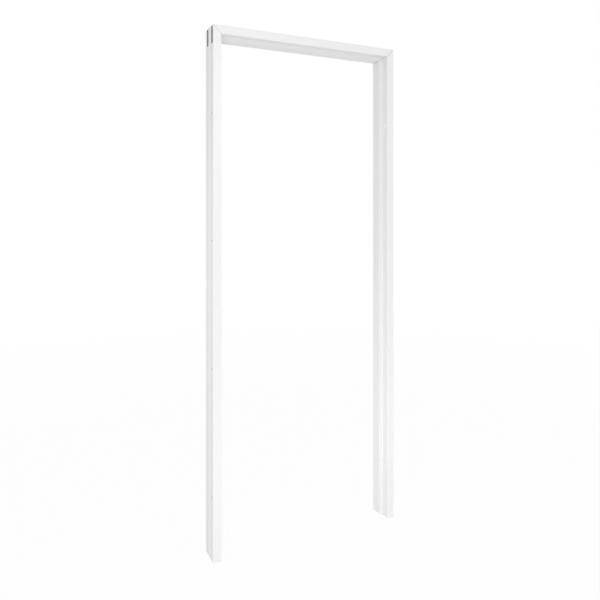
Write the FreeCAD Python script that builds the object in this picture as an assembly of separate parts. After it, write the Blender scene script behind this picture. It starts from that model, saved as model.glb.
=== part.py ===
import FreeCAD, Part
import math
import os

Vector = FreeCAD.Vector
os.makedirs("parts", exist_ok=True)

# Three-sided frame for an inside door, of white hollow plastic profile with steel in it.
# Millimetres. X runs across the doorway, Y from the front face to the back, Z up.
# The origin is on the floor, at the middle of the width and of the depth.
# Places in the profile are u, from the wall side towards the doorway,
# and v, from the front face towards the back.

# Frame
frame_width = 800.0
frame_height = 2000.0
frame_depth = 96.0
mitre_gap = 0.4

# Outside of the profile
face_width = 32.0
rebate_depth = 33.0
stop_rise = 10.0
stop_shoulder = 3.0
stop_slope_run = 15.5
edge_round = 1.2
stop_foot_round = 0.6
stop_crest_round = 5.0

# Walls and chambers of the profile
outer_wall = 2.2
inner_web = 1.4
rear_steel_room = 25.0
nib_height = 2.8
nib_width = 1.4
nib_inset = 5.0
groove_width = 22.0
groove_depth = 0.6
groove_flank = 0.8

# Steel channels in the profile, open towards the wall
steel_sheet = 1.2
steel_bend = 2.0
steel_clearance = 0.3
steel_corner_gap = 8.0
steel_foot_gap = 10.0

# Bent steel cleats that join the channels at the corners
cleat_thickness = 3.0
cleat_bend = 3.0
cleat_end = 8.0

# Hexagon-head screws of the cleats
screw_radius = 2.1
screw_length = 6.4
screw_head_width = 8.0
screw_head_height = 3.6
screw_from_steel_end = 20.0

# Ways in for the nut driver, a slot in each jamb and a round hole in the head
driver_width = 16.0

# Drilled places for the wall screws, and their caps
fixing_count = 4
fixing_from_floor = 235.0
fixing_from_top = 325.0
wall_hole_radius = 4.0
steel_hole_radius = 4.5
driver_hole_radius = 5.5
cap_radius = 7.0
cap_thickness = 1.0

# Clearance of a screw in its hole
screw_clearance = 0.05

# Places that follow from the sizes above
back_wall = outer_wall + groove_depth
reveal_inside = face_width - outer_wall
crest = face_width + stop_rise
crest_inside = crest - outer_wall
nib_top = reveal_inside - nib_height
stop_crest_start = rebate_depth + stop_slope_run
rear_chamber_start = stop_crest_start + inner_web
rear_chamber_end = frame_depth - outer_wall
front_line = (outer_wall + rebate_depth) / 2
rear_line = (rear_chamber_start + rear_chamber_end) / 2
front_room = (outer_wall, rebate_depth)
rear_room = (rear_line - rear_steel_room / 2, rear_line + rear_steel_room / 2)
steel_rooms = {"front": front_room, "rear": rear_room}

steel_lip_u = back_wall + steel_clearance
steel_web_u = nib_top - steel_clearance
cleat_seat_u = steel_web_u - steel_sheet
cleat_face_u = cleat_seat_u - cleat_thickness
steel_setback = face_width + steel_corner_gap
screw_reach = steel_setback + screw_from_steel_end
cleat_reach = screw_reach + cleat_end
slot_reach = screw_reach + driver_width / 2

fixing_pitch = (frame_height - fixing_from_floor - fixing_from_top) / (fixing_count - 1)
fixing_heights = [fixing_from_floor + i * fixing_pitch for i in range(fixing_count)]
overcut = 5.0


def rounded_outline(corners):
    """Closed wire through corners given as (x, y, radius), with an arc at each radius."""
    edges = []
    ends = []
    for i, (x, y, radius) in enumerate(corners):
        corner = Vector(x, y, 0)
        before = Vector(corners[i - 1][0], corners[i - 1][1], 0)
        after = Vector(corners[(i + 1) % len(corners)][0], corners[(i + 1) % len(corners)][1], 0)
        if radius == 0:
            ends.append((corner, corner))
            continue
        back = (before - corner).normalize()
        ahead = (after - corner).normalize()
        half_angle = back.getAngle(ahead) / 2
        reach = radius / math.tan(half_angle)
        inward = (back + ahead).normalize()
        middle = corner + inward * (radius / math.sin(half_angle) - radius)
        start = corner + back * reach
        end = corner + ahead * reach
        edges.append(Part.Arc(start, middle, end).toShape())
        ends.append((start, end))
    for i, (start, _) in enumerate(ends):
        edges.append(Part.makeLine(ends[i - 1][1], start))
    return Part.Wire(Part.__sortEdges__(edges))


def groove_corners(line):
    """Corners of a shallow groove in the wall side, from the back towards the front."""
    half = groove_width / 2
    return [
        (0, line + half, 0),
        (groove_depth, line + half - groove_flank, 0),
        (groove_depth, line - half + groove_flank, 0),
        (0, line - half, 0),
    ]


def profile_outline():
    corners = [
        (0, 0, edge_round),
        (face_width, 0, edge_round),
        (face_width, rebate_depth, stop_foot_round),
        (face_width + stop_shoulder, rebate_depth, edge_round),
        (crest, stop_crest_start, stop_crest_round),
        (crest, frame_depth, edge_round),
        (0, frame_depth, edge_round),
    ]
    corners += groove_corners(rear_line)
    corners += groove_corners(front_line)
    return rounded_outline(corners)


def slope_inside(v):
    """Inner face of the wall under the sloping face of the stop, at the depth v."""
    rise = stop_rise - stop_shoulder
    slant = math.hypot(rise, stop_slope_run)
    outside = face_width + stop_shoulder + (v - rebate_depth) * rise / stop_slope_run
    return outside - outer_wall * slant / stop_slope_run


def plain_chamber(u_low, u_high, v_low, v_high):
    return rounded_outline([
        (u_low, v_low, 0),
        (u_high, v_low, 0),
        (u_high, v_high, 0),
        (u_low, v_high, 0),
    ])


def slope_chamber():
    """Chamber under the sloping face of the stop."""
    v_low = rebate_depth + outer_wall
    v_high = stop_crest_start
    return rounded_outline([
        (back_wall, v_low, 0),
        (slope_inside(v_low), v_low, 0),
        (slope_inside(v_high), v_high, 0),
        (back_wall, v_high, 0),
    ])


def steel_chamber(room):
    """Chamber for a steel channel, with two nibs that keep the steel off the doorway wall."""
    v_low, v_high = room
    corners = [(back_wall, v_low, 0), (reveal_inside, v_low, 0)]
    for near in (v_low + nib_inset, v_high - nib_inset - nib_width):
        corners += [
            (reveal_inside, near, 0),
            (nib_top, near, 0),
            (nib_top, near + nib_width, 0),
            (reveal_inside, near + nib_width, 0),
        ]
    corners += [(reveal_inside, v_high, 0), (back_wall, v_high, 0)]
    return rounded_outline(corners)


def profile_section():
    """Cross-section of the plastic profile, one face with its six chambers open."""
    rear_low, rear_high = rear_room
    wires = [
        profile_outline(),
        steel_chamber(front_room),
        slope_chamber(),
        plain_chamber(back_wall, crest_inside, rear_chamber_start, rear_low - inner_web),
        steel_chamber(rear_room),
        plain_chamber(reveal_inside + inner_web, crest_inside, rear_low, rear_high),
        plain_chamber(back_wall, crest_inside, rear_high + inner_web, rear_chamber_end),
    ]
    return Part.makeFace(Part.makeCompound(wires), "Part::FaceMakerBullseye")


def mitre_waste(length):
    """Wedge beyond the mitre at the far end of a profile of this length."""
    shift = mitre_gap / math.sqrt(2)
    low = -overcut
    high = crest + overcut
    wedge = Part.makePolygon([
        Vector(low, -overcut, length - low - shift),
        Vector(high, -overcut, length - high - shift),
        Vector(high, -overcut, length - low),
        Vector(low, -overcut, length - low - shift),
    ])
    return Part.Face(wedge).extrude(Vector(0, frame_depth + 2 * overcut, 0))


def other_end(shape, length):
    """The same shape at the near end of a profile of this length."""
    return shape.mirror(Vector(0, 0, length / 2), Vector(0, 0, 1))


def middle_of(room):
    return (room[0] + room[1]) / 2


def cross_drill(radius, u_low, u_high, v, height):
    """Round cutter through the profile, from the wall side towards the doorway."""
    return Part.makeCylinder(radius, u_high - u_low, Vector(u_low, v, height), Vector(1, 0, 0))


def corner_slot(room):
    """Slot in the wall side of a jamb, open at the mitre and round at its lower end."""
    v = middle_of(room)
    low = frame_height - slot_reach + driver_width / 2
    slot = Part.makeBox(
        overcut + steel_lip_u,
        driver_width,
        frame_height + overcut - low,
        Vector(-overcut, v - driver_width / 2, low),
    )
    return slot.fuse(cross_drill(driver_width / 2, -overcut, steel_lip_u, v, low))


def jamb():
    body = profile_section().extrude(Vector(0, 0, frame_height))
    cutters = [mitre_waste(frame_height)]
    cutters += [corner_slot(room) for room in steel_rooms.values()]
    for height in fixing_heights:
        cutters.append(cross_drill(wall_hole_radius, -overcut, steel_lip_u, front_line, height))
        cutters.append(cross_drill(driver_hole_radius, steel_web_u, crest, front_line, height))
    return body.cut(cutters)


def head():
    body = profile_section().extrude(Vector(0, 0, frame_width))
    cutters = [mitre_waste(frame_width), other_end(mitre_waste(frame_width), frame_width)]
    for room in steel_rooms.values():
        hole = cross_drill(driver_width / 2, -overcut, steel_lip_u, middle_of(room), screw_reach)
        cutters += [hole, other_end(hole, frame_width)]
    return body.cut(cutters)


def steel_channel(room, low, high, screw_places, fixings):
    """Channel of bent steel sheet, its web towards the doorway and its lips towards the wall."""
    v_low = room[0] + steel_clearance
    v_high = room[1] - steel_clearance
    inner_bend = steel_bend - steel_sheet
    section = Part.Face(rounded_outline([
        (steel_lip_u, v_low, 0),
        (steel_web_u, v_low, steel_bend),
        (steel_web_u, v_high, steel_bend),
        (steel_lip_u, v_high, 0),
        (steel_lip_u, v_high - steel_sheet, 0),
        (cleat_seat_u, v_high - steel_sheet, inner_bend),
        (cleat_seat_u, v_low + steel_sheet, inner_bend),
        (steel_lip_u, v_low + steel_sheet, 0),
    ]))
    section.translate(Vector(0, 0, low))
    v = middle_of(room)
    drills = []
    for radius, places in ((screw_radius + screw_clearance, screw_places), (steel_hole_radius, fixings)):
        drills += [cross_drill(radius, cleat_face_u, nib_top, v, place) for place in places]
    return section.extrude(Vector(0, 0, high - low)).cut(drills)


def jamb_steel(name):
    fixings = fixing_heights if name == "front" else []
    high = frame_height - steel_setback
    return steel_channel(
        steel_rooms[name], steel_foot_gap, high, [frame_height - screw_reach], fixings
    )


def head_steel(name):
    places = [screw_reach, frame_width - screw_reach]
    return steel_channel(
        steel_rooms[name], steel_setback, frame_width - steel_setback, places, []
    )


def cleat_screw():
    """Hexagon-head screw for sheet steel, its seat at the origin and its point towards +Z."""
    corner = Vector(screw_head_width / math.sqrt(3), 0, -screw_head_height)
    turn = FreeCAD.Rotation(Vector(0, 0, 1), 60)
    corners = [corner]
    for _ in range(6):
        corners.append(turn.multVec(corners[-1]))
    hexagon = Part.Face(Part.makePolygon(corners)).extrude(Vector(0, 0, screw_head_height))
    return hexagon.fuse(Part.makeCylinder(screw_radius, screw_length))


def cap():
    """Thin round cover cap, its stuck face at the origin, facing +X."""
    return Part.makeCylinder(cap_radius, cap_thickness, Vector(0, 0, 0), Vector(1, 0, 0))


def in_left_jamb(shape):
    """Puts a shape of the profile's own u, v and length where the left jamb stands."""
    shape.translate(Vector(-frame_width / 2, -frame_depth / 2, 0))
    return shape


def in_head(shape):
    """Puts a shape of the profile's own u, v and length where the head lies."""
    shape.rotate(Vector(0, 0, 0), Vector(0, 1, 0), 90)
    shape.translate(Vector(-frame_width / 2, -frame_depth / 2, frame_height))
    return shape


def to_the_right(shape):
    return shape.mirror(Vector(0, 0, 0), Vector(1, 0, 0))


def cleat(room):
    """L of flat steel on the webs of the two channels that meet at the left corner."""
    side_room = 2 * steel_clearance + steel_bend
    v_low = room[0] + side_room
    width = room[1] - side_room - v_low
    outline = rounded_outline([
        (cleat_face_u, cleat_face_u, cleat_bend + cleat_thickness),
        (cleat_reach, cleat_face_u, 0),
        (cleat_reach, cleat_seat_u, 0),
        (cleat_seat_u, cleat_seat_u, cleat_bend),
        (cleat_seat_u, cleat_reach, 0),
        (cleat_face_u, cleat_reach, 0),
    ])
    body = Part.Face(outline).extrude(Vector(0, 0, width))
    body.rotate(Vector(0, 0, 0), Vector(1, 0, 0), -90)
    body.translate(Vector(-frame_width / 2, v_low - frame_depth / 2, frame_height))
    hole = screw_radius + screw_clearance
    v = middle_of(room)
    in_jamb_leg = in_left_jamb(cross_drill(hole, 0, face_width, v, frame_height - screw_reach))
    in_head_leg = in_head(cross_drill(hole, 0, face_width, v, screw_reach))
    return body.cut([in_jamb_leg, in_head_leg])


def cleat_screws(room):
    """The two screws of one cleat at the left corner, one in each leg."""
    screws = []
    for place, put in ((frame_height - screw_reach, in_left_jamb), (screw_reach, in_head)):
        screw = cleat_screw()
        screw.rotate(Vector(0, 0, 0), Vector(0, 1, 0), 90)
        screw.translate(Vector(cleat_face_u, middle_of(room), place))
        screws.append(put(screw))
    return Part.makeCompound(screws)


def left_cap(height):
    shape = cap()
    shape.translate(Vector(face_width, front_line, height))
    return in_left_jamb(shape)


def all_pieces():
    """Every piece by name, each right-hand one as the mirror of the left."""
    left = {"jamb": in_left_jamb(jamb())}
    pieces = {"head": in_head(head())}
    for name, room in steel_rooms.items():
        left["jamb_" + name + "_steel"] = in_left_jamb(jamb_steel(name))
        left[name + "_cleat"] = cleat(room)
        left[name + "_cleat_screws"] = cleat_screws(room)
        pieces["head_" + name + "_steel"] = in_head(head_steel(name))
    for number, height in enumerate(fixing_heights, start=1):
        left["cap_" + str(number)] = left_cap(height)
    for name, shape in left.items():
        pieces["left_" + name] = shape
        pieces["right_" + name] = to_the_right(shape)
    return pieces


for piece_name, piece in all_pieces().items():
    piece.exportStep("parts/" + piece_name + ".step")
    print(piece_name, len(piece.Solids), round(piece.Volume / 1000, 2), piece.isValid())
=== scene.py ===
import math

import bmesh
import bpy
from mathutils import Matrix, Vector


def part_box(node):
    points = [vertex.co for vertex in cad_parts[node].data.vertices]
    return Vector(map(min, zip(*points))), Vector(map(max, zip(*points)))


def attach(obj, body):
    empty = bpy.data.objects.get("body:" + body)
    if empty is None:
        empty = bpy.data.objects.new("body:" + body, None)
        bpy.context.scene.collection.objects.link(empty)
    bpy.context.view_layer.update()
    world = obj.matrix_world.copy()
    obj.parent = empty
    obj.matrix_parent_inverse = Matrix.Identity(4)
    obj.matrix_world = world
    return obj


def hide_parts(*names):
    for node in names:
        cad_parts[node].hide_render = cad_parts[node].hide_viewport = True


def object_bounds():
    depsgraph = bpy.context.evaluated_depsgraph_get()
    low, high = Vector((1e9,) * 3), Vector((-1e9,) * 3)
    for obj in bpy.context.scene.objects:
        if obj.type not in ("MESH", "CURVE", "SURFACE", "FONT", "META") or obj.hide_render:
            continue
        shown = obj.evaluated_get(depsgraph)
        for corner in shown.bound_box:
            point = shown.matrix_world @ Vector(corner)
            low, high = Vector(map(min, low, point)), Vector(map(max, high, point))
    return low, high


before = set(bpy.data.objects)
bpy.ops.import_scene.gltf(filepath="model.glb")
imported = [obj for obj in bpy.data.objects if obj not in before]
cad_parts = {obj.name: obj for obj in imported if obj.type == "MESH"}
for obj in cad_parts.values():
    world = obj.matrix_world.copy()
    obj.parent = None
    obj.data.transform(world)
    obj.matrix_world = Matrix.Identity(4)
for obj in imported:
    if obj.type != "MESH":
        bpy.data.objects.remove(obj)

cad_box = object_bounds()

# Viewpoint of the photograph: a level camera at chest height, in front of the frame and to the
# left of it, turned towards it. Its horizon lies above the middle of the picture, so the lens
# is shifted down.
quarter_turn = math.radians(90)
picture_width = 600
picture_middle_y = 300
focal_length_pixels = 595.5
horizon_pixel_y = 217.2
eye = (-1.059, -2.179, 1.283)
turned_right = math.radians(25.48)
sensor_width = 36

camera = bpy.data.objects.new("camera", bpy.data.cameras.new("camera"))
bpy.context.scene.collection.objects.link(camera)
bpy.context.scene.camera = camera
camera.location = eye
camera.rotation_euler = (quarter_turn, 0, -turned_right)
camera.data.sensor_width = sensor_width
camera.data.lens = sensor_width * focal_length_pixels / picture_width
camera.data.shift_y = (horizon_pixel_y - picture_middle_y) / picture_width
bpy.context.scene.view_settings.view_transform = "Standard"

# Helpers that the sections below share: shader nodes and node groups in few words, a finish for
# a CAD node, and an object made of a bmesh. An axis is a number: 0 for X, 1 for Y, 2 for Z.
axis_x = 0
axis_z = 2


def link(tree, source, target):
    tree.links.new(source, target)


def add_node(tree, kind, **settings):
    made = tree.nodes.new(kind)
    for name, value in settings.items():
        setattr(made, name, value)
    return made


def set_input(tree, socket, value):
    """Sets a socket to a number or colour, or links it to another node's output."""
    if isinstance(value, bpy.types.NodeSocket):
        link(tree, value, socket)
    else:
        socket.default_value = value


def calculate(tree, operation, first, second=0.0):
    made = add_node(tree, "ShaderNodeMath", operation=operation)
    set_input(tree, made.inputs[0], first)
    set_input(tree, made.inputs[1], second)
    return made.outputs[0]


def spread(tree, value, low, high):
    """Spreads a mask from 0 to 1 over the numbers from low to high."""
    made = add_node(tree, "ShaderNodeMapRange")
    set_input(tree, made.inputs["Value"], value)
    set_input(tree, made.inputs["To Min"], low)
    set_input(tree, made.inputs["To Max"], high)
    return made.outputs["Result"]


def fade(tree, value, start, end, before, after):
    """Goes smoothly from before to after while value goes from start to end."""
    made = add_node(tree, "ShaderNodeMapRange", interpolation_type="SMOOTHSTEP")
    link(tree, value, made.inputs["Value"])
    made.inputs["From Min"].default_value = start
    made.inputs["From Max"].default_value = end
    made.inputs["To Min"].default_value = before
    made.inputs["To Max"].default_value = after
    return made.outputs["Result"]


def blend(tree, kind, mask, first, second):
    made = add_node(tree, "ShaderNodeMix", data_type=kind)
    set_input(tree, made.inputs["Factor"], mask)
    set_input(tree, made.inputs["A"], first)
    set_input(tree, made.inputs["B"], second)
    return made.outputs["Result"]


def blend_colours(tree, mask, first, second):
    return blend(tree, "RGBA", mask, first, second)


def blend_numbers(tree, mask, first, second):
    return blend(tree, "FLOAT", mask, first, second)


def own_place(tree):
    """The object's own coordinates."""
    return add_node(tree, "ShaderNodeTexCoord").outputs["Object"]


def stretched_place(tree, scale):
    """The object's own coordinates, stretched by scale along X, Y and Z."""
    mapping = add_node(tree, "ShaderNodeMapping")
    link(tree, own_place(tree), mapping.inputs["Vector"])
    mapping.inputs["Scale"].default_value = scale
    return mapping.outputs["Vector"]


def stretched_along(across, along, axis):
    """Scale for stretched_place: along in the axis's direction, across in the other two."""
    scale = [across] * 3
    scale[axis] = along
    return scale


def unit_vector(axis):
    return [float(number == axis) for number in range(3)]


def noise(tree, place, scale=1.0, detail=2.0):
    made = add_node(tree, "ShaderNodeTexNoise")
    link(tree, place, made.inputs["Vector"])
    made.inputs["Scale"].default_value = scale
    made.inputs["Detail"].default_value = detail
    return made.outputs["Fac"]


def bump(tree, height, strength, distance):
    made = add_node(tree, "ShaderNodeBump")
    made.inputs["Strength"].default_value = strength
    made.inputs["Distance"].default_value = distance
    link(tree, height, made.inputs["Height"])
    return made.outputs["Normal"]


def along_axis(tree, vector, axis):
    """Size of a vector's part along an axis, whichever way it points."""
    made = add_node(tree, "ShaderNodeVectorMath", operation="DOT_PRODUCT")
    link(tree, vector, made.inputs[0])
    link(tree, axis, made.inputs[1])
    return calculate(tree, "ABSOLUTE", made.outputs["Value"])


def new_material(name):
    material = bpy.data.materials.new(name)
    material.use_nodes = True
    return material, material.node_tree, material.node_tree.nodes["Principled BSDF"]


def new_group(name, inputs, outputs):
    """Shader node group with named sockets, given as {name: socket kind}."""
    group = bpy.data.node_groups.new(name, "ShaderNodeTree")
    for socket, kind in inputs.items():
        group.interface.new_socket(socket, in_out="INPUT", socket_type=kind)
    for socket, kind in outputs.items():
        group.interface.new_socket(socket, in_out="OUTPUT", socket_type=kind)
    start = group.nodes.new("NodeGroupInput")
    end = group.nodes.new("NodeGroupOutput")
    return group, start, end


def give(node_name, material):
    """Puts a material in every slot of a CAD node."""
    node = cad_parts[node_name]
    if not node.material_slots:
        node.data.materials.append(material)
    for material_slot in node.material_slots:
        material_slot.material = material


def put_piece(name, mesh, material, replaced):
    """Makes an object of a bmesh, with its place in its mesh, that rides on the frame."""
    bmesh.ops.recalc_face_normals(mesh, faces=mesh.faces)
    data = bpy.data.meshes.new(name)
    mesh.to_mesh(data)
    mesh.free()
    data.materials.append(material)
    piece = bpy.data.objects.new(name, data)
    bpy.context.scene.collection.objects.link(piece)
    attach(piece, "root")
    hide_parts(*replaced)


# Jambs and head: lengths of one extruded hard white plastic profile, sawn square at the feet
# and at 45 degrees at the corners. Everything deeper than a thin white skin is drawn dark grey,
# a painted shade which shows in the chambers and on the cuts. The die leaves fine lines along
# the skin, the saw leaves curved marks on the cut ends, the floors of the grooves in the wall
# sides get a little painted shade, and a thin dark line of painted shade and dust stands in
# the mitred seams.
plastic_white = (0.917, 0.917, 0.915, 1)
plastic_shade = (0.892, 0.892, 0.890, 1)
# Painted shade: the floors of the wall grooves are drawn a little darker than the skin.
groove_painted_shade = (0.850, 0.850, 0.848, 1)
# Painted shade: the dark grey below is drawn on everything deeper than the skin, in the chambers
# and on the cuts.
inner_painted_shade_grey = (0.30, 0.30, 0.30, 1)
# Partly painted shade and partly dust: the dark grey of the thin line in the mitred seams.
seam_dust_and_shade_grey = (0.40, 0.40, 0.40, 1)
cloud_scale = 7.0
cloud_detail = 3.0
line_across_skin = 900
line_along_skin = 1.2
broad_line_scale = 0.11
fine_line_share = 0.35
fine_line_detail = 3.0
skin_roughness = (0.24, 0.36)
sawn_roughness = 0.62
skin_bump_strength = 0.35
skin_bump_height = 0.00004
saw_mark_pitch = 260
saw_mark_waviness = 1.5
mitre_angle = math.radians(45)
seam_dark_to = 0.00025
seam_clear_from = 0.0006
groove_shallow = 0.0003
skin_thickness = 0.0014
rebate_face = 0.032
facing_share = 0.5


def die_line_group():
    """Fine and broad lines drawn out along the length."""
    group, start, end = new_group(
        "die_lines", {"Stretched Place": "NodeSocketVector"},
        {"Height": "NodeSocketFloat", "Dullness": "NodeSocketFloat"},
    )
    place = start.outputs["Stretched Place"]
    fine = noise(group, place, detail=fine_line_detail)
    broad = noise(group, place, broad_line_scale)
    height = calculate(group, "ADD", calculate(group, "MULTIPLY", fine, fine_line_share), broad)
    link(group, height, end.inputs["Height"])
    link(group, fine, end.inputs["Dullness"])
    return group


def sawn_face_group():
    """Mask of the cut ends, and the height of the marks that the saw leaves there."""
    group, start, end = new_group(
        "sawn_face", {"Length Axis": "NodeSocketVector"},
        {"Mask": "NodeSocketFloat", "Height": "NodeSocketFloat"},
    )
    normal = add_node(group, "ShaderNodeNewGeometry").outputs["True Normal"]
    facing = along_axis(group, normal, start.outputs["Length Axis"])
    link(group, calculate(group, "GREATER_THAN", facing, facing_share), end.inputs["Mask"])
    rings = add_node(group, "ShaderNodeTexWave", wave_type="RINGS", rings_direction="SPHERICAL")
    link(group, own_place(group), rings.inputs["Vector"])
    rings.inputs["Scale"].default_value = saw_mark_pitch
    rings.inputs["Distortion"].default_value = saw_mark_waviness
    link(group, rings.outputs["Fac"], end.inputs["Height"])
    return group


def mitre_seam_group():
    """Mask of the thin line of painted shade and dust beside both mitred cuts, which meet at Seam
    Height when drawn out.
    """
    group, start, end = new_group(
        "mitre_seam", {"Seam Height": "NodeSocketFloat"}, {"Mask": "NodeSocketFloat"}
    )
    parts = add_node(group, "ShaderNodeSeparateXYZ")
    link(group, own_place(group), parts.inputs["Vector"])
    outwards = calculate(group, "ABSOLUTE", parts.outputs["X"])
    climb = calculate(group, "SUBTRACT", parts.outputs["Z"], outwards)
    offset = calculate(group, "SUBTRACT", climb, start.outputs["Seam Height"])
    away = calculate(
        group, "MULTIPLY", calculate(group, "ABSOLUTE", offset), math.cos(mitre_angle)
    )
    mask = fade(group, away, seam_dark_to, seam_clear_from, 1.0, 0.0)
    link(group, mask, end.inputs["Mask"])
    return group


def wall_groove_group():
    """Mask of the floors of the shallow grooves in a wall side, which lies at Side Place, where
    painted shade goes.
    """
    group, start, end = new_group(
        "wall_groove", {"Side Axis": "NodeSocketVector", "Side Place": "NodeSocketFloat"},
        {"Mask": "NodeSocketFloat"},
    )
    axis = start.outputs["Side Axis"]
    normal = add_node(group, "ShaderNodeNewGeometry").outputs["True Normal"]
    facing = calculate(group, "GREATER_THAN", along_axis(group, normal, axis), facing_share)
    depth = calculate(
        group, "SUBTRACT", start.outputs["Side Place"], along_axis(group, own_place(group), axis)
    )
    below_skin = calculate(group, "GREATER_THAN", depth, groove_shallow)
    above_inner_shade = calculate(group, "LESS_THAN", depth, skin_thickness)
    within = calculate(group, "MULTIPLY", below_skin, above_inner_shade)
    link(group, calculate(group, "MULTIPLY", facing, within), end.inputs["Mask"])
    return group


def inner_shade_group():
    """Mask of what lies deeper than the white skin, from the wall side to the rebate's face, which
    gets painted shade.
    """
    group, start, end = new_group(
        "inner_shade",
        {"Side Axis": "NodeSocketVector", "Side Place": "NodeSocketFloat",
         "Front Place": "NodeSocketFloat"},
        {"Mask": "NodeSocketFloat"},
    )
    place = own_place(group)
    parts = add_node(group, "ShaderNodeSeparateXYZ")
    link(group, place, parts.inputs["Vector"])
    depth = calculate(
        group, "SUBTRACT", start.outputs["Side Place"],
        along_axis(group, place, start.outputs["Side Axis"]),
    )
    inward = calculate(
        group, "SUBTRACT", start.outputs["Front Place"],
        calculate(group, "ABSOLUTE", parts.outputs["Y"]),
    )
    behind_side = calculate(group, "GREATER_THAN", depth, skin_thickness)
    before_face = calculate(group, "LESS_THAN", depth, rebate_face - skin_thickness)
    behind_front = calculate(group, "GREATER_THAN", inward, skin_thickness)
    across = calculate(group, "MULTIPLY", behind_side, before_face)
    link(group, calculate(group, "MULTIPLY", across, behind_front), end.inputs["Mask"])
    return group


die_lines = die_line_group()
sawn_face = sawn_face_group()
mitre_seam = mitre_seam_group()
wall_groove = wall_groove_group()
inner_shade = inner_shade_group()


def profile_plastic(name, length_axis, side_axis, side_place, front_place, seam_height):
    """White plastic whose die lines run along length_axis and whose wall side faces side_axis."""
    material, tree, shader = new_material(name)
    scale = stretched_along(line_across_skin, line_along_skin, length_axis)
    lines = add_node(tree, "ShaderNodeGroup", node_tree=die_lines)
    link(tree, stretched_place(tree, scale), lines.inputs["Stretched Place"])
    sawn = add_node(tree, "ShaderNodeGroup", node_tree=sawn_face)
    sawn.inputs["Length Axis"].default_value = unit_vector(length_axis)
    seam = add_node(tree, "ShaderNodeGroup", node_tree=mitre_seam)
    seam.inputs["Seam Height"].default_value = seam_height
    groove = add_node(tree, "ShaderNodeGroup", node_tree=wall_groove)
    # This node gives the mask of the painted shade inside the skin.
    core = add_node(tree, "ShaderNodeGroup", node_tree=inner_shade)
    for made in (groove, core):
        made.inputs["Side Axis"].default_value = unit_vector(side_axis)
        made.inputs["Side Place"].default_value = side_place
    core.inputs["Front Place"].default_value = front_place

    cloud = noise(tree, own_place(tree), cloud_scale, cloud_detail)
    cut = sawn.outputs["Mask"]
    colour = blend_colours(tree, cloud, plastic_shade, plastic_white)
    # Painted shade: darker floors of the wall grooves.
    colour = blend_colours(tree, groove.outputs["Mask"], colour, groove_painted_shade)
    # Painted shade: dark grey on everything deeper than the skin.
    colour = blend_colours(tree, core.outputs["Mask"], colour, inner_painted_shade_grey)
    # Painted shade and dust: a thin dark line in the mitred seams.
    colour = blend_colours(tree, seam.outputs["Mask"], colour, seam_dust_and_shade_grey)
    skin = spread(tree, lines.outputs["Dullness"], *skin_roughness)
    roughness = blend_numbers(tree, cut, skin, sawn_roughness)
    height = blend_numbers(tree, cut, lines.outputs["Height"], sawn.outputs["Height"])
    link(tree, colour, shader.inputs["Base Color"])
    link(tree, roughness, shader.inputs["Roughness"])
    normal = bump(tree, height, skin_bump_strength, skin_bump_height)
    link(tree, normal, shader.inputs["Normal"])
    return material


half_width, half_depth, frame_height = cad_box[1]
corner_seam_height = frame_height - half_width
upright_plastic = profile_plastic(
    "upright_plastic", axis_z, axis_x, half_width, half_depth, corner_seam_height
)
level_plastic = profile_plastic(
    "level_plastic", axis_x, axis_z, frame_height, half_depth, corner_seam_height
)
give("left_jamb", upright_plastic)
give("right_jamb", upright_plastic)
give("head", level_plastic)

# Steel channels: hot-dip galvanised sheet, folded and pushed into the front and rear chambers.
# The zinc has set in flat crystals a few millimetres across and gone dull, each crystal with
# its own grey and shine, and the rolls have left faint streaks along the length. Its greys are
# set darker than bare zinc, as painted shade for the dark chambers seen through the slots.
zinc_light_with_painted_shade = (0.36, 0.37, 0.38, 1)
zinc_dark_with_painted_shade = (0.19, 0.20, 0.21, 1)
crystals_per_metre = 160
crystal_share = 0.65
streaks_across = 420.0
streaks_along = 6.0
streak_share = 0.35
zinc_roughness = (0.30, 0.55)
zinc_bump_strength = 0.2
zinc_bump_height = 0.00003


def galvanised(name, length_axis):
    material, tree, shader = new_material(name)
    crystals = add_node(tree, "ShaderNodeTexVoronoi")
    link(tree, own_place(tree), crystals.inputs["Vector"])
    crystals.inputs["Scale"].default_value = crystals_per_metre
    shade = add_node(tree, "ShaderNodeSeparateColor")
    link(tree, crystals.outputs["Color"], shade.inputs["Color"])
    streak_scale = stretched_along(streaks_across, streaks_along, length_axis)
    streaks = noise(tree, stretched_place(tree, streak_scale))
    tone = calculate(
        tree, "ADD", calculate(tree, "MULTIPLY", shade.outputs["Red"], crystal_share),
        calculate(tree, "MULTIPLY", streaks, streak_share),
    )
    link(tree, blend_colours(tree, tone, zinc_dark_with_painted_shade, zinc_light_with_painted_shade), shader.inputs["Base Color"])
    roughness = spread(tree, shade.outputs["Green"], *zinc_roughness)
    link(tree, roughness, shader.inputs["Roughness"])
    shader.inputs["Metallic"].default_value = 1.0
    normal = bump(tree, shade.outputs["Blue"], zinc_bump_strength, zinc_bump_height)
    link(tree, normal, shader.inputs["Normal"])
    return material


upright_galvanised = galvanised("upright_galvanised", axis_z)
level_galvanised = galvanised("level_galvanised", axis_x)
for room in ("front", "rear"):
    for side in ("left", "right"):
        give(side + "_jamb_" + room + "_steel", upright_galvanised)
    give("head_" + room + "_steel", level_galvanised)

# Corner cleats: 3 mm flat steel, sheared, punched and bent to an L, then zinc plated.
# One lies on the webs of the two channels that meet in each chamber of a corner.
# The plate's greys are set darker than bare zinc plate, as painted shade for the dark chambers seen
# through the slots.
plate_light_with_painted_shade = (0.36, 0.37, 0.39, 1)
plate_dark_with_painted_shade = (0.22, 0.23, 0.25, 1)
grain_scale = (700, 60, 700)
grain_detail = 4.0
haze_scale = 90.0
haze_detail = 3.0
plate_roughness = (0.30, 0.48)
plate_bump_strength = 0.2
plate_bump_height = 0.00004

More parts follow.
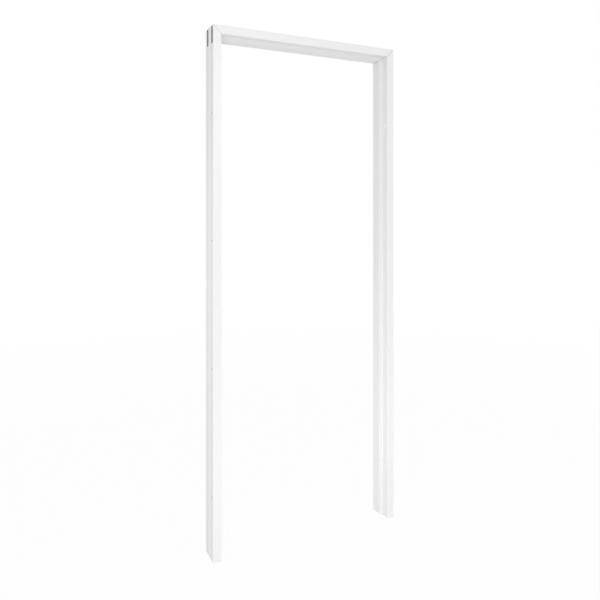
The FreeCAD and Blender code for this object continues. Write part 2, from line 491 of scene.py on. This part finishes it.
plated_steel, plate_tree, plate_shader = new_material("plated_steel")
plate_grain = noise(plate_tree, stretched_place(plate_tree, grain_scale), detail=grain_detail)
plate_haze = noise(plate_tree, own_place(plate_tree), haze_scale, haze_detail)
plate_colour = blend_colours(plate_tree, plate_haze, plate_dark_with_painted_shade, plate_light_with_painted_shade)
link(plate_tree, plate_colour, plate_shader.inputs["Base Color"])
plate_dullness = spread(plate_tree, plate_grain, *plate_roughness)
link(plate_tree, plate_dullness, plate_shader.inputs["Roughness"])
plate_shader.inputs["Metallic"].default_value = 1.0
plate_normal = bump(plate_tree, plate_grain, plate_bump_strength, plate_bump_height)
link(plate_tree, plate_normal, plate_shader.inputs["Normal"])

corners = [side + "_" + room for side in ("left", "right") for room in ("front", "rear")]
for corner in corners:
    give(corner + "_cleat", plated_steel)

# Cleat screws: zinc-plated hexagon heads, 8 mm across the flats, one in each leg of a cleat.
# Each is cold headed with a chamfered top and a shallow dish, and its thread is rolled.
# It goes through the cleat into the web of the channel.
across_flats = 0.008
head_height = 0.0036
head_chamfer = 0.0006
head_chamfer_steps = 2
dish_radius = 0.0024
dish_depth = 0.0005
thread_core_radius = 0.00165
thread_radius = 0.0021
thread_pitch = 0.0016
thread_turns = 3
thread_steps = 20
thread_root_share = 0.9
ridge_half_share = 0.3
point_share = 1 / 6
shank_length = 0.0064
point_length = 0.0014
cleat_end = 0.008


def head_mesh(mesh):
    """Hexagon head with its seat at the origin and its top towards -Z."""
    corner_radius = across_flats / math.sqrt(3)
    sharp = bmesh.ops.create_cone(
        mesh, cap_ends=True, segments=6, radius1=corner_radius, radius2=corner_radius,
        depth=head_height, matrix=Matrix.Translation((0, 0, -head_height / 2)),
    )["verts"]
    top = [v for v in sharp if v.co.z < -head_height / 2]
    rim = [e for e in mesh.edges if e.verts[0] in top and e.verts[1] in top]
    bmesh.ops.bevel(
        mesh, geom=rim, offset=head_chamfer, segments=head_chamfer_steps, profile=0.5,
        affect="EDGES", material=-1,
    )
    lid = min(mesh.faces, key=lambda face: face.calc_center_median().z)
    bmesh.ops.inset_individual(mesh, faces=[lid], thickness=across_flats / 2 - dish_radius)
    bmesh.ops.translate(mesh, verts=lid.verts, vec=(0, 0, dish_depth))


def thread_mesh(mesh):
    """Plain core with a point, and one rolled thread wound round it as a closed ridge."""
    bmesh.ops.create_cone(
        mesh, cap_ends=True, segments=thread_steps, radius1=thread_core_radius,
        radius2=thread_core_radius, depth=shank_length - point_length,
        matrix=Matrix.Translation((0, 0, (shank_length - point_length) / 2)),
    )
    bmesh.ops.create_cone(
        mesh, cap_ends=True, segments=thread_steps, radius1=thread_core_radius,
        radius2=thread_core_radius * point_share, depth=point_length,
        matrix=Matrix.Translation((0, 0, shank_length - point_length / 2)),
    )
    start = thread_pitch / 2
    half = thread_pitch * ridge_half_share
    root = thread_core_radius * thread_root_share
    section = [(root, start - half), (thread_radius, start), (root, start + half)]
    points = [mesh.verts.new((radius, 0, z)) for radius, z in section]
    ridge = mesh.faces.new(points)
    bmesh.ops.spin(
        mesh, geom=[ridge] + list(ridge.edges) + points, cent=(0, 0, 0), axis=(0, 0, 1),
        dvec=(0, 0, thread_pitch / thread_steps), angle=thread_turns * math.tau,
        steps=thread_turns * thread_steps, use_merge=False, use_duplicate=False,
    )


def screw_pair(corner):
    """The screw of the jamb leg, pointing across, and that of the head leg, pointing down."""
    low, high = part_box(corner + "_cleat")
    middle_y = (low.y + high.y) / 2
    is_left = corner.startswith("left")
    face_x = low.x if is_left else high.x
    end_x = high.x if is_left else low.x
    inwards = 1 if is_left else -1
    jamb_place = Matrix.Translation((face_x, middle_y, low.z + cleat_end))
    jamb_turn = Matrix.Rotation(inwards * quarter_turn, 4, "Y")
    head_place = Matrix.Translation((end_x - inwards * cleat_end, middle_y, high.z))
    head_turn = Matrix.Rotation(2 * quarter_turn, 4, "X")
    pair = bmesh.new()
    for placed in (jamb_place @ jamb_turn, head_place @ head_turn):
        one = bmesh.new()
        head_mesh(one)
        thread_mesh(one)
        bmesh.ops.transform(one, matrix=placed, verts=one.verts)
        data = bpy.data.meshes.new("one_screw")
        one.to_mesh(data)
        one.free()
        pair.from_mesh(data)
        bpy.data.meshes.remove(data)
    return pair


screw_light = (0.62, 0.62, 0.59, 1)
screw_dark = (0.44, 0.44, 0.41, 1)
screw_haze_scale = 600.0
screw_haze_detail = 3.0
screw_roughness = (0.2, 0.36)
screw_material, screw_tree, screw_shader = new_material("screw_zinc_plate")
screw_haze = noise(screw_tree, own_place(screw_tree), screw_haze_scale, screw_haze_detail)
screw_colour = blend_colours(screw_tree, screw_haze, screw_dark, screw_light)
link(screw_tree, screw_colour, screw_shader.inputs["Base Color"])
link(screw_tree, spread(screw_tree, screw_haze, *screw_roughness), screw_shader.inputs["Roughness"])
screw_shader.inputs["Metallic"].default_value = 1.0
for corner in corners:
    put_piece(
        corner + "_hexagon_screws", screw_pair(corner), screw_material,
        [corner + "_cleat_screws"],
    )

# Cover caps: thin round discs of brighter, glossier white plastic, stuck over the drilled
# holes in the jambs' rebates. Each is pressed from sheet, with a rounded rim and a middle that
# swells a very little to the cap's full thickness.
cap_white = (0.99, 0.99, 0.99, 1)
cap_shade = (0.98, 0.98, 0.98, 1)
cap_cloud_scale = 220.0
cap_roughness = (0.14, 0.24)
cap_gloss_coat = 1.0
cap_rim_share = 0.85
cap_rim_steps = 4
cap_dome_steps = 6
cap_ring_steps = 48
weld_distance = 0.000001

cap_material, cap_tree, cap_shader = new_material("cap_white")
cap_cloud = noise(cap_tree, own_place(cap_tree), cap_cloud_scale)
cap_colour = blend_colours(cap_tree, cap_cloud, cap_shade, cap_white)
link(cap_tree, cap_colour, cap_shader.inputs["Base Color"])
link(cap_tree, spread(cap_tree, cap_cloud, *cap_roughness), cap_shader.inputs["Roughness"])
cap_shader.inputs["Coat Weight"].default_value = cap_gloss_coat


def cap_outline(radius, thickness):
    """From the seat's middle out along the seat, round the rim and over the dome."""
    rim = thickness * cap_rim_share
    outline = [(0, 0), (radius, 0)]
    for step in range(1, cap_rim_steps + 1):
        turn = quarter_turn * step / cap_rim_steps
        outline.append((radius - rim * (1 - math.cos(turn)), rim * math.sin(turn)))
    for step in range(1, cap_dome_steps + 1):
        share = step / cap_dome_steps
        swell = math.sin(quarter_turn * share)
        outline.append(((radius - rim) * (1 - share), rim + (thickness - rim) * swell))
    return outline


def cap_mesh(node_name):
    low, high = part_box(node_name)
    radius = (high.z - low.z) / 2
    mesh = bmesh.new()
    points = [mesh.verts.new((r, 0, h)) for r, h in cap_outline(radius, high.x - low.x)]
    edges = [mesh.edges.new(pair) for pair in zip(points, points[1:])]
    bmesh.ops.spin(
        mesh, geom=points + edges, cent=(0, 0, 0), axis=(0, 0, 1), dvec=(0, 0, 0),
        angle=math.tau, steps=cap_ring_steps, use_merge=True, use_duplicate=False,
    )
    bmesh.ops.remove_doubles(mesh, verts=mesh.verts, dist=weld_distance)
    on_seat = [v for v in mesh.verts if abs(v.co.z) < weld_distance]
    for face in mesh.faces:
        face.smooth = not all(v in on_seat for v in face.verts)
    for edge in mesh.edges:
        flat_sides = sum(not face.smooth for face in edge.link_faces)
        edge.smooth = flat_sides != 1
    is_left = node_name.startswith("left")
    seat_x = low.x if is_left else high.x
    turn = Matrix.Rotation(quarter_turn if is_left else -quarter_turn, 4, "Y")
    place = Matrix.Translation((seat_x, (low.y + high.y) / 2, (low.z + high.z) / 2))
    bmesh.ops.transform(mesh, matrix=place @ turn, verts=mesh.verts)
    return mesh


for cap_node in sorted(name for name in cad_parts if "_cap_" in name):
    put_piece(
        cap_node.replace("_cap_", "_cover_cap_"), cap_mesh(cap_node), cap_material,
        [cap_node],
    )

# Studio: a pale floor that runs out to a white surround, two large soft lamps in front, one high
# on the right and one low on the left, and two small ones with narrow beams: one reaches into
# the rebate of the right jamb near the floor, and one lights the middle of the left jamb's wall
# side. The white that the camera sees comes from the floor's and the surround's own colour, and
# the floor keeps a little shade near the frame.
white_strength = 1.0
surround_light = 0.664
surround_white = (1, 1, 1, 1)
floor_radius = 14.0
floor_sides = 64
floor_colour = (0.856, 0.856, 0.856, 1)
floor_glow_share = 0.965
floor_near = 1.5
floor_far = 6.0
floor_roughness = 0.9


def seen_directly(tree):
    """1 for the rays of the camera and of mirrors and glass, which see the plain white."""
    path = add_node(tree, "ShaderNodeLightPath")
    shiny = calculate(
        tree, "MAXIMUM", path.outputs["Is Glossy Ray"], path.outputs["Is Transmission Ray"]
    )
    return calculate(tree, "MAXIMUM", path.outputs["Is Camera Ray"], shiny)


world = bpy.data.worlds.new("surround")
bpy.context.scene.world = world
world.use_nodes = True
backdrop = world.node_tree.nodes["Background"]
backdrop.inputs["Color"].default_value = surround_white
surround_strength = spread(
    world.node_tree, seen_directly(world.node_tree), surround_light, white_strength
)
link(world.node_tree, surround_strength, backdrop.inputs["Strength"])

floor_material, floor_tree, floor_shader = new_material("floor_white")
floor_shader.inputs["Base Color"].default_value = floor_colour
floor_shader.inputs["Roughness"].default_value = floor_roughness
floor_shader.inputs["Specular IOR Level"].default_value = 0.0
glow = add_node(floor_tree, "ShaderNodeEmission")
glow.inputs["Strength"].default_value = white_strength
from_middle = add_node(floor_tree, "ShaderNodeVectorMath", operation="LENGTH")
link(floor_tree, own_place(floor_tree), from_middle.inputs[0])
whitening = fade(
    floor_tree, from_middle.outputs["Value"], floor_near, floor_far, floor_glow_share, 1.0
)
glow_share = calculate(floor_tree, "MULTIPLY", seen_directly(floor_tree), whitening)
lit_and_glowing = add_node(floor_tree, "ShaderNodeMixShader")
link(floor_tree, glow_share, lit_and_glowing.inputs[0])
link(floor_tree, floor_shader.outputs[0], lit_and_glowing.inputs[1])
link(floor_tree, glow.outputs[0], lit_and_glowing.inputs[2])
floor_output = floor_tree.nodes["Material Output"]
link(floor_tree, lit_and_glowing.outputs[0], floor_output.inputs["Surface"])

floor_mesh = bmesh.new()
bmesh.ops.create_circle(floor_mesh, cap_ends=True, segments=floor_sides, radius=floor_radius)
floor_data = bpy.data.meshes.new("floor")
floor_mesh.to_mesh(floor_data)
floor_mesh.free()
floor_data.materials.append(floor_material)
floor = bpy.data.objects.new("floor", floor_data)
bpy.context.scene.collection.objects.link(floor)


def soft_lamp(name, place, aim, width, height, power, beam=180):
    """Rectangular lamp whose light leaves it within a beam of so many degrees."""
    lamp = bpy.data.objects.new(name, bpy.data.lights.new(name, "AREA"))
    bpy.context.scene.collection.objects.link(lamp)
    lamp.data.shape = "RECTANGLE"
    lamp.data.size = width
    lamp.data.size_y = height
    lamp.data.energy = power
    lamp.data.spread = math.radians(beam)
    lamp.visible_camera = False
    lamp.location = place
    lamp.rotation_euler = (Vector(aim) - Vector(place)).to_track_quat("-Z", "Y").to_euler()


soft_lamp(
    "high_lamp", place=(0.6, -3.2, 2.4), aim=(0.2, 0, 1.6), width=1.6, height=1.0, power=15.0
)
soft_lamp(
    "wide_lamp", place=(-1.8, -2.6, 0.5), aim=(0.2, 0, 0.6), width=1.4, height=0.8, power=22.4
)
soft_lamp(
    "rebate_lamp", place=(-0.8, -1.1, 0.25), aim=(0.38, 0, 0.3), width=0.5, height=0.4,
    power=0.5, beam=60,
)
soft_lamp(
    "side_lamp", place=(-2.4, -0.6, 1.0), aim=(-0.4, 0, 1.1), width=0.5, height=0.5,
    power=0.23, beam=40,
)
